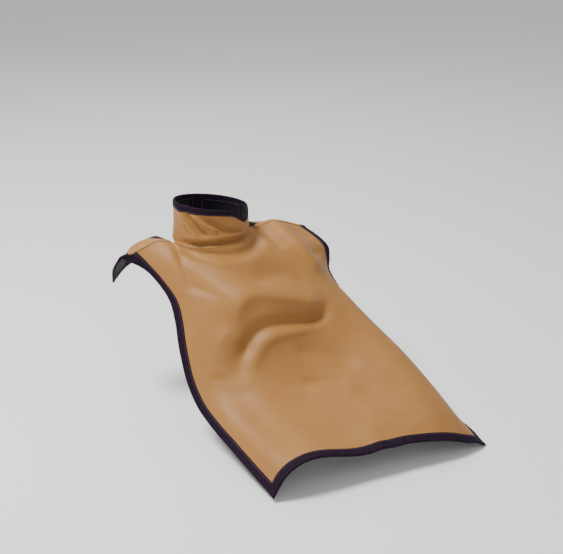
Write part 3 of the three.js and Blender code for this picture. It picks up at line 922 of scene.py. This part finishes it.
def round_the_edge(grid, corners, width, mitre_first=False, mitre_last=False):
    stations = []
    for leg, (start, end) in enumerate(zip(corners, corners[1:])):
        (in_row, in_column), inset = inward_step(grid, start, end, width)
        length = max(abs(end[0] - start[0]), abs(end[1] - start[1]))
        way = ((end[0] - start[0]) / length, (end[1] - start[1]) / length)
        at_start, at_end = leg > 0 or mitre_first, leg < len(corners) - 2 or mitre_last
        count = max(2, round(length))
        for k in range(1 if leg > 0 else 0, count + 1):
            t = k / count
            shift = inset * ((1 - t) ** MITRE_POWER * at_start - t ** MITRE_POWER * at_end)
            near = max((1 - t * length / inset) * at_start, (1 - (1 - t) * length / inset) * at_end, 0)
            edge = (start[0] + way[0] * t * length, start[1] + way[1] * t * length)
            inside = (edge[0] + in_row + way[0] * shift, edge[1] + in_column + way[1] * shift)
            stations.append((edge, inside, 1 + MITRE_REACH * near))
    return stations


# %% Tapes of the bib
ARM_TAPE, SIDE_TAPE, HEM_TAPE = 17 * MM, 17 * MM, 19 * MM
last_row, last_column = bib.shape[0] - 1, bib.shape[1] - 1
UNDERARM_ROW = 6  # the row of the CAD net at which each armhole ends
underarm = int(np.linalg.norm(bib[:, 0] - bib_net[UNDERARM_ROW, 0], axis=1).argmin())
bib_paths = {  # node: (corners, width, mitred at the start, mitred at the end)
    "hem_binding": ([(last_row, 0), (last_row, last_column)], HEM_TAPE, True, True),
}
for hand, column in (("right", 0), ("left", last_column)):
    bib_paths[f"{hand}_armhole_binding"] = ([(0, column), (underarm, column)], ARM_TAPE, False, False)
    bib_paths[f"{hand}_side_binding"] = ([(underarm, column), (last_row, column)], SIDE_TAPE, False, True)
bib_tapes = []
for node, (corners, width, mitre_first, mitre_last) in bib_paths.items():
    stations = round_the_edge(bib, corners, width, mitre_first, mitre_last)
    piece = binding(f"{node}_sewn", bib, BIB_THICK, stations)
    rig.ride(piece, "apron_front")
    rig.replaces(piece, node)
    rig.slot(piece, "binding")
    bib_tapes.append(piece)
print("bib tapes", len(bib_tapes), "underarm at row", underarm, "of", last_row)

# %% [markdown]
# ## Seams that join two panels
# At the shoulders and round the neck the upper panel's cover runs on over the bib's raw edge, and at
# the shoulders it is topstitched down. So three rows of points are added to its grid: up over the edge,
# along the bib's face, and a last one just under it, which hides the cut edge.

# %% Lap rows
SHOULDER_LAP, NECK_LAP = 7 * MM, 4.5 * MM
LAP_SHARES = (0, 0.8, 1)  # how far down the lap each of its three rows lies


def lap_rows(seam_row, top_first, top_last, lap, lifts):
    """Rows of points over the bib's top edge, opposite each point of seam_row; lifts are in mm."""
    normal = outward(bib)
    top = bib[0, top_first:top_last + 1]
    rows = [[], [], []]
    for point in seam_row:
        j = top_first + int(np.linalg.norm(top - point, axis=1).argmin())
        for row, down, lift in zip(rows, LAP_SHARES, lifts):
            spot = (down * lap / (sheet_size(bib)[1] / last_row), j)
            row.append(on_grid(bib, *spot) + on_grid(normal, *spot) * lift * MM)
    return np.array(rows)


def smoothed_rows(rows, times=2):
    for _ in range(times):
        rows[:, 1:-1] = (rows[:, :-2] + 2 * rows[:, 1:-1] + rows[:, 2:]) / 4
    return rows


def topstitch(name, line, ups, material):
    points, faces, cuts = [], [], []
    stitch_row(points, faces, cuts, line, ups)
    made = mesh_object(name, points, faces, cuts, [material])
    recalculate(made)
    return made


# %% Ends of the neckline
NECK_COLUMNS = 5, 15  # columns of the CAD net between which its top edge is the neckline
neck_first, neck_last = [int(np.linalg.norm(bib[0] - bib_net[0, column], axis=1).argmin())
                         for column in NECK_COLUMNS]
print("neckline from column", neck_first, "to", neck_last, "of", last_column)

# %% [markdown]
# ## Back flaps
# Each flap is the same sandwich with one vinyl ply. It bends on the shoulder seam, so the front of
# the flap follows the bib and the rest follows the flap's own body.

# %% Back flaps
FLAP_TAPE = 15 * MM
FLAP_FOLDS = {
    "soft_ridge": ([(0.35, 0.15), (0.40, 0.5), (0.38, 0.95)], 2.2, 14, 16),
    "soft_hollow": ([(0.68, 0.2), (0.66, 0.6), (0.70, 0.95)], -2.0, 14, 16),
}
sides = {"left": (neck_last, last_column), "right": (0, neck_first)}
bends = {  # where each flap starts to leave the bib's body, and where it follows its own
    "left": ((0.15, 0.012, 0.0), (0.15, 0.04, -0.01)),
    "right": ((-0.13, 0.024, 0.0), (-0.13, 0.052, -0.01)),
}
SEAM_LIFTS = (1.0, 0.75, -0.3)  # mm over the bib of the lap's three rows
for hand in ("left", "right"):
    flap = relaxed(folded(weave(flap_nets[hand]), FLAP_FOLDS))
    lap = smoothed_rows(lap_rows(flap[0], *sides[hand], SHOULDER_LAP, SEAM_LIFTS))
    body, pieces = f"{hand}_back_flap", []
    for layer, (top, bottom, slot, material) in COLLAR_DEPTHS.items():
        grid = np.concatenate([lap[::-1], flap]) if layer == "cover" else flap
        piece = slab(f"{hand}_flap_{layer}_draped", grid, top * MM, bottom * MM, material)
        note_sheet(piece, f"{hand}_flap_{layer}", slot, grid, "draped")
        pieces.append(piece)
    whole = np.concatenate([lap[::-1], flap])
    last = (whole.shape[0] - 1, whole.shape[1] - 1)
    first, end = (1, 3) if hand == "left" else (3, 1)  # on the arm side the tape runs on over the seam
    path = round_the_edge(whole, [(first, 0), (last[0], 0), last, (end, last[1])], FLAP_TAPE)
    tape = binding(f"{hand}_flap_binding_sewn", whole, COLLAR_THICK, path)
    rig.replaces(tape, f"{hand}_flap_binding")
    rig.slot(tape, "binding")
    from_column, to_column = sides[hand]
    seam_edge = bib[0, from_column:to_column + 1]
    beside = [from_column + int(np.linalg.norm(seam_edge - p, axis=1).argmin()) for p in lap[0]]
    seam = topstitch(f"{hand}_shoulder_topstitching", lap[1], outward(bib)[0, beside], tan_thread)
    for piece in (*pieces, tape, seam):
        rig.blend(piece, "apron_front", body, *bends[hand])
    print(hand, "flap, mm", [round(side / MM) for side in sheet_size(flap)])

# %% [markdown]
# ## Collar
# The collar stands because its vinyl is stiff, but it still crumples where the chin pushes it down:
# one sharp ridge from the corner of the rim, a hollow beside it, and creases near the foot.
# The front of the collar stays with the bib. The wing behind the wearer's left ear opens, so it is
# a piece of its own that bends near its hinge.

# %% Collar shape
COLLAR_STEP = 2.6 * MM
COLLAR_TAPE = 14 * MM
COLLAR_FOLDS = {
    "corner_ridge": ([(0.345, 0.05), (0.385, 0.28), (0.435, 0.58), (0.485, 0.86)], 6.5, 6, 5, True),
    "corner_hollow": ([(0.395, 0.14), (0.440, 0.38), (0.49, 0.62), (0.55, 0.80)], -5.5, 4, 5),
    "second_ridge": ([(0.44, 0.15), (0.51, 0.40), (0.60, 0.64)], 5.0, 5, 5, True),
    "second_hollow": ([(0.51, 0.22), (0.59, 0.45), (0.68, 0.60), (0.77, 0.52)], -5.0, 5, 6),
    "foot_roll": ([(0.40, 0.84), (0.50, 0.82), (0.60, 0.80), (0.70, 0.76), (0.81, 0.68)], 5.0, 6, 5, True),
    "foot_crease": ([(0.38, 0.985), (0.50, 0.965), (0.60, 0.955), (0.70, 0.93), (0.84, 0.87)], -5.5, 5, 6),
    "rim_roll": ([(0.42, 0.05), (0.55, 0.06), (0.70, 0.05)], 2.4, 7, 9),
    "left_push": ([(0.22, 0.10), (0.24, 0.45), (0.27, 0.85)], -3.0, 9, 9),
}
NAPE_REACH = 0.33  # share of a net cell by which each end is drawn out, so that they nearly meet
COLLAR_CRUMPLE = 1.3  # makes every fold of the collar this much higher
collar_net[:, 0] += (collar_net[:, 0] - collar_net[:, 1]) * NAPE_REACH
wing_net[:, -1] += (wing_net[:, -1] - wing_net[:, -2]) * NAPE_REACH
collar = relaxed(folded(weave(collar_net, COLLAR_STEP), COLLAR_FOLDS, COLLAR_CRUMPLE), times=1)
wing = weave(wing_net, COLLAR_STEP)


# %% Foot of the collar
TURN_IN = ((0.9, 0.3), (1.2, 1.6), (0.7, 2.9))  # mm down and mm inwards of each turned-in row


def turned_under(grid):
    """Rows that turn a cover's lower edge in, where no bib is below it."""
    foot, normal = grid[-1], outward(grid)[-1]
    down = grid[-1] - grid[-2]
    down /= np.linalg.norm(down, axis=1, keepdims=True)
    return np.stack([foot + down * a * MM - normal * b * MM for a, b in TURN_IN])


SEAM_FROM, SEAM_TO, SEAM_FADE = -92, 88, 9  # degrees round the neck that are sewn to the bib
FOOT_LIFTS = (0.8, 0.4, -0.9)  # mm over the bib of the lap's three rows
angle = np.degrees(np.arctan2(collar[-1, :, 0], -collar[-1, :, 1]))
inside = np.clip(np.minimum(angle - SEAM_FROM, SEAM_TO - angle) / SEAM_FADE + 1, 0, 1)[None, :, None]
sewn = smoothed_rows(lap_rows(collar[-1], neck_first, neck_last, NECK_LAP, FOOT_LIFTS), times=4)
foot_rows = sewn * inside + turned_under(collar) * (1 - inside)
print("collar grid", collar.shape, "wing grid", wing.shape)

# %% Collar layers, tapes and stitches
wing_bend = ((0.08, 0.0125, 0.05), (0.08, 0.028, 0.05))  # where the wing starts and ends its bend


def place_piece(piece, moves):
    if moves:
        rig.blend(piece, "apron_front", "collar_rear", *wing_bend)
    else:
        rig.ride(piece, "apron_front")


collar_parts = (("collar", collar, foot_rows, False), ("collar_wing", wing, turned_under(wing), True))
for part, grid, rows, moves in collar_parts:
    for layer, (top, bottom, slot, material) in COLLAR_DEPTHS.items():
        whole = np.concatenate([grid, rows]) if layer == "cover" else grid
        piece = slab(f"{part}_{layer}_shaped", whole, top * MM, bottom * MM, material)
        note_sheet(piece, f"{part}_{layer}", slot, whole, "stretched")
        place_piece(piece, moves)
    last = (grid.shape[0] - 1, grid.shape[1] - 1)
    corners = [(0, 0), (0, last[1]), last] if moves else [(last[0], 0), (0, 0), (0, last[1])]
    tape = binding(f"{part}_binding_sewn", grid, COLLAR_THICK, round_the_edge(grid, corners, COLLAR_TAPE))
    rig.replaces(tape, f"{part}_binding")
    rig.slot(tape, "binding")
    place_piece(tape, moves)

# %% [markdown]
# ## Seam tape inside the neck
# A strip of plum tape covers the seam inside the neck, so that no raw edge touches the skin. It is
# cut from the collar's own grid a little below the lining, so it follows every crease there. A band
# made apart from the collar would be pierced by the creases.

# %% Seam tape inside the neck
TAPE_TOP = 0.76  # share of the collar's height, from the rim, at which the tape starts
inside_neck = np.flatnonzero((angle > SEAM_FROM + 1) & (angle < SEAM_TO - 1))
tape_rows = collar[round(TAPE_TOP * len(collar)):-1, inside_neck[0]:inside_neck[-1] + 1]
piece = slab("neck_seam_tape_sewn", tape_rows, COLLAR_THICK + 0.2 * MM, COLLAR_THICK + 0.8 * MM,
             plum_tape)
note_sheet(piece, "neck_seam_tape", "binding", tape_rows, "stretched")
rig.ride(piece, "apron_front")


# %% [markdown]
# ## Closure at the nape
# A tab on the wing carries hook tape, which presses onto loop tape on the other end of the collar.
# Each patch is small, nearly flat and curved with the neck, so it is woven on its CAD layer's net
# as the large sheets are, and the two tan ones get a row of stitches inside their edge.

# %% Corners of a patch
def patch_corners(corners, loop):
    def angle_from_nape(k):
        return math.atan2(-loop[k].co.x, loop[k].co.y)
    by_angle = sorted(corners, key=angle_from_nape)
    start = sorted(by_angle[:2], key=lambda k: -loop[k].co.z)
    end = sorted(by_angle[2:], key=lambda k: -loop[k].co.z)
    return start[0], end[0], start[1], end[1]


# %% Patches
PATCH_STEP = 2.5 * MM
patches = {  # node: (longest rim edge, thickness, body, slot, material), sizes in millimetres
    "loop_tape": (1.2, 0.9, "apron_front", "loop_pile", loop_pile),
    "hook_tape": (1.2, 0.9, "tab", "hook_tape", nylon_hooks),
    "closure_tab": (1.6, 1.3, "tab", "cover", coated_nylon),
    "closure_tab_root": (2.6, 2.3, "collar_rear", "cover", coated_nylon),
}
for node, (rim_edge, thick, body, slot, material) in patches.items():
    grid = weave(read_net(node, NECK, 4, patch_corners, rim_edge * MM), PATCH_STEP)
    piece = slab(f"{node}_sewn", grid, 0, thick * MM, material)
    note_sheet(piece, node, slot, grid, "stretched")
    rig.ride(piece, body)
    if material is coated_nylon:
        normal, (rows, columns) = outward(grid), grid.shape[:2]
        ring = ([(1, c) for c in range(1, columns - 1)]
                + [(rows - 2, c) for c in range(columns - 2, 0, -1)])
        seam = topstitch(f"{node}_topstitching", [grid[r, c] for r, c in ring],
                         [normal[r, c] for r, c in ring], tan_thread)
        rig.ride(seam, body)

# %% [markdown]
# ## Telling the frame what each piece is
# Every layer stands for its CAD solid and is declared as a sheet, with its size along the cloth.
# The bib and the collar's wing are measured without folds. The flaps and the collar are measured
# with their shallow folds, and their covers with the laps at their seams.

# %% Declarations
for piece, node, slot, flat, area, held in made_sheets:
    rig.replaces(piece, node)
    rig.slot(piece, slot)
    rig.sheet(piece, flat=flat, held=held, area=min(area, flat[0] * flat[1]),
             with_pieces=bib_tapes if node == "outer_cover" else ())
print("sheets", len(made_sheets))

# %% [markdown]
# ## Floor and light
# A plain pale floor under the lowest hem, and soft light: a large lamp high over the wearer's right,
# a weak wide one in front, one behind, and a pale world, so that the satin shows broad, quiet
# highlights. A smaller lamp would draw the folds more sharply but burn white spots on every ridge.

# %% Floor
FLOOR_SIZE, FLOOR_GAP = 14, 0.5 * MM  # metres
PAPER_FIBRE = 2.5 * MM


def plain_floor(height):
    for piece in bpy.context.selected_objects:
        piece.select_set(False)
    bpy.ops.mesh.primitive_plane_add(size=FLOOR_SIZE, location=(0, 0, height))
    made = bpy.context.object
    made.name = "floor"
    made.data.transform(made.matrix_world)
    made.matrix_world.identity()
    paper, tree, shader = new_material("matt_studio_paper", 0.9)
    where = add(tree, "ShaderNodeTexCoord").outputs["Object"]
    fibre = add(tree, "ShaderNodeTexNoise", inputs={"Scale": 1 / PAPER_FIBRE},
                links={"Vector": where}).outputs["Fac"]
    add(tree, "ShaderNodeValToRGB", links={"Fac": fibre}, stops=[(0.2, "EFEFEE"), (0.8, "F4F4F3")],
        feeds=[("Color", shader.inputs["Base Color"])])
    made.data.materials.append(paper)
    return made


lowest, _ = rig.bounds()
floor = plain_floor(lowest.z - FLOOR_GAP)
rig.stage(floor)
print("floor at, mm", round(lowest.z / MM, 1))


# %% Lights
def soft_lamp(name, place, aim, size, power):
    lamp = bpy.data.lights.new(name, "AREA")
    lamp.size = size
    lamp.energy = power
    made = bpy.data.objects.new(name, lamp)
    bpy.context.scene.collection.objects.link(made)
    made.location = place
    made.rotation_euler = (Vector(aim) - Vector(place)).to_track_quat("-Z", "Y").to_euler()


MIDDLE = (0.08, -0.2, -0.12)  # the middle of the apron; the lamps are given by place, size and watts
WORLD_LIGHT = 0.55
soft_lamp("key", (-1.15, 0.15, 2.3), MIDDLE, 0.8, 105)
soft_lamp("fill", (-0.6, -2.4, 1.7), MIDDLE, 1.8, 9)
soft_lamp("rear", (0.6, 1.8, 1.8), MIDDLE, 1.6, 18)
world = bpy.data.worlds.new("studio")
world.use_nodes = True
world.node_tree.nodes["Background"].inputs["Color"].default_value = (1, 1, 1, 1)
world.node_tree.nodes["Background"].inputs["Strength"].default_value = WORLD_LIGHT
bpy.context.scene.world = world
print("lamps", len(bpy.data.lights))

# %% Sizes and finish
new_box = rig.bounds()
with open("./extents.json", "w") as file:
    json.dump({"cad": [list(c) for c in cad_box], "visual": [list(c) for c in new_box]}, file)
grown = [[round((b - a) / MM, 1) for a, b in zip(old, new)] for old, new in zip(cad_box, new_box)]
print("grown by, mm", grown)
